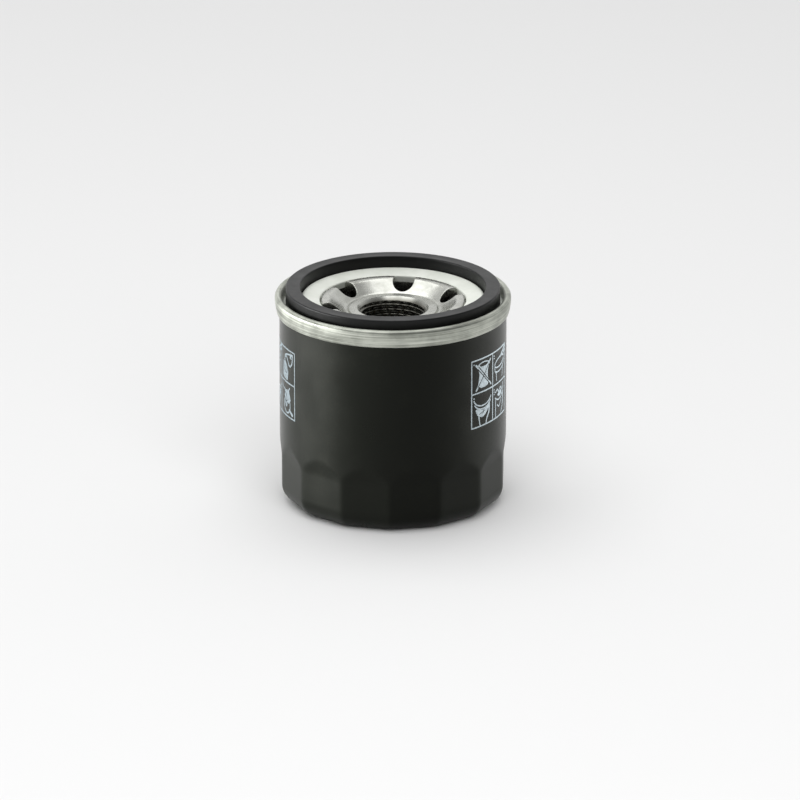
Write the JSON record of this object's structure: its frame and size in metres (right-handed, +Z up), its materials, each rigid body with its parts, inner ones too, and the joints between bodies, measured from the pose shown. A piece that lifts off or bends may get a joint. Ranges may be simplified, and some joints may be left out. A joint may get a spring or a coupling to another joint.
{
  "type": "oil filter",
  "caption": "Spin-on engine oil filter: painted can with wrench flats, seamed lid, rubber gasket, threaded tapping plate, pleated element and sprung valves.",
  "frame": {"origin": "centre of the foot ring that the can stands on", "axes": "+Z up along the thread's axis, out of the threaded end; the front, with plain paint between two printed panels, faces -Y"},
  "size_m": [0.0686, 0.0686, 0.0648],
  "materials": {
    "can_paint": "satin gloss black paint",
    "galvanised_lid": "zinc-plated sheet",
    "sealant": "cured seam compound",
    "bright_steel": "bright stamped steel",
    "gasket_rubber": "matte nitrile rubber",
    "valve_rubber": "soft nitrile rubber",
    "end_cap_steel": "tin-plated sheet",
    "potting_compound": "cured plastisol",
    "filter_paper": "resin-treated paper",
    "tube_steel": "perforated sheet",
    "valve_steel": "pressed sheet",
    "seal_rubber": "moulded rubber",
    "spring_steel": "spring wire and strip"
  },
  "bodies": {
    "housing": {"can_shell": "can_paint", "seaming_lid": "galvanised_lid", "seam_sealant": "sealant", "tapping_plate": "bright_steel", "gasket": "gasket_rubber", "drainback_valve_sleeve": "valve_rubber", "drainback_valve_web": "valve_rubber", "upper_end_cap": "end_cap_steel", "upper_potting": "potting_compound", "filter_media": "filter_paper", "media_seam_clip": "valve_steel", "centre_tube": "tube_steel", "lower_potting": "potting_compound", "lower_end_cap": "end_cap_steel", "bypass_valve_seat": "valve_steel", "bypass_valve_spring": "spring_steel", "bypass_valve_cage": "valve_steel", "element_spring": "spring_steel"},
    "bypass_plunger": {"bypass_valve_plunger": "valve_steel", "bypass_valve_seal": "seal_rubber"},
    "drainback_lip": {"drainback_valve_lip": "valve_rubber"}
  },
  "joints": [
    {"name": "bypass_lift", "type": "slide", "parent": "housing", "child": "bypass_plunger", "axis": [0, 0, 1], "range_m": [0, 0.003], "stiffness_N_per_m": 1000, "springref_m": -0.008, "deforming": ["bypass_valve_spring"]},
    {"name": "drainback_open", "type": "slide", "parent": "housing", "child": "drainback_lip", "axis": [0, 0, -1], "range_m": [0, 0.0012], "stiffness_N_per_m": 200, "springref_m": -0.0005, "deforming": ["drainback_valve_web"]}
  ]
}
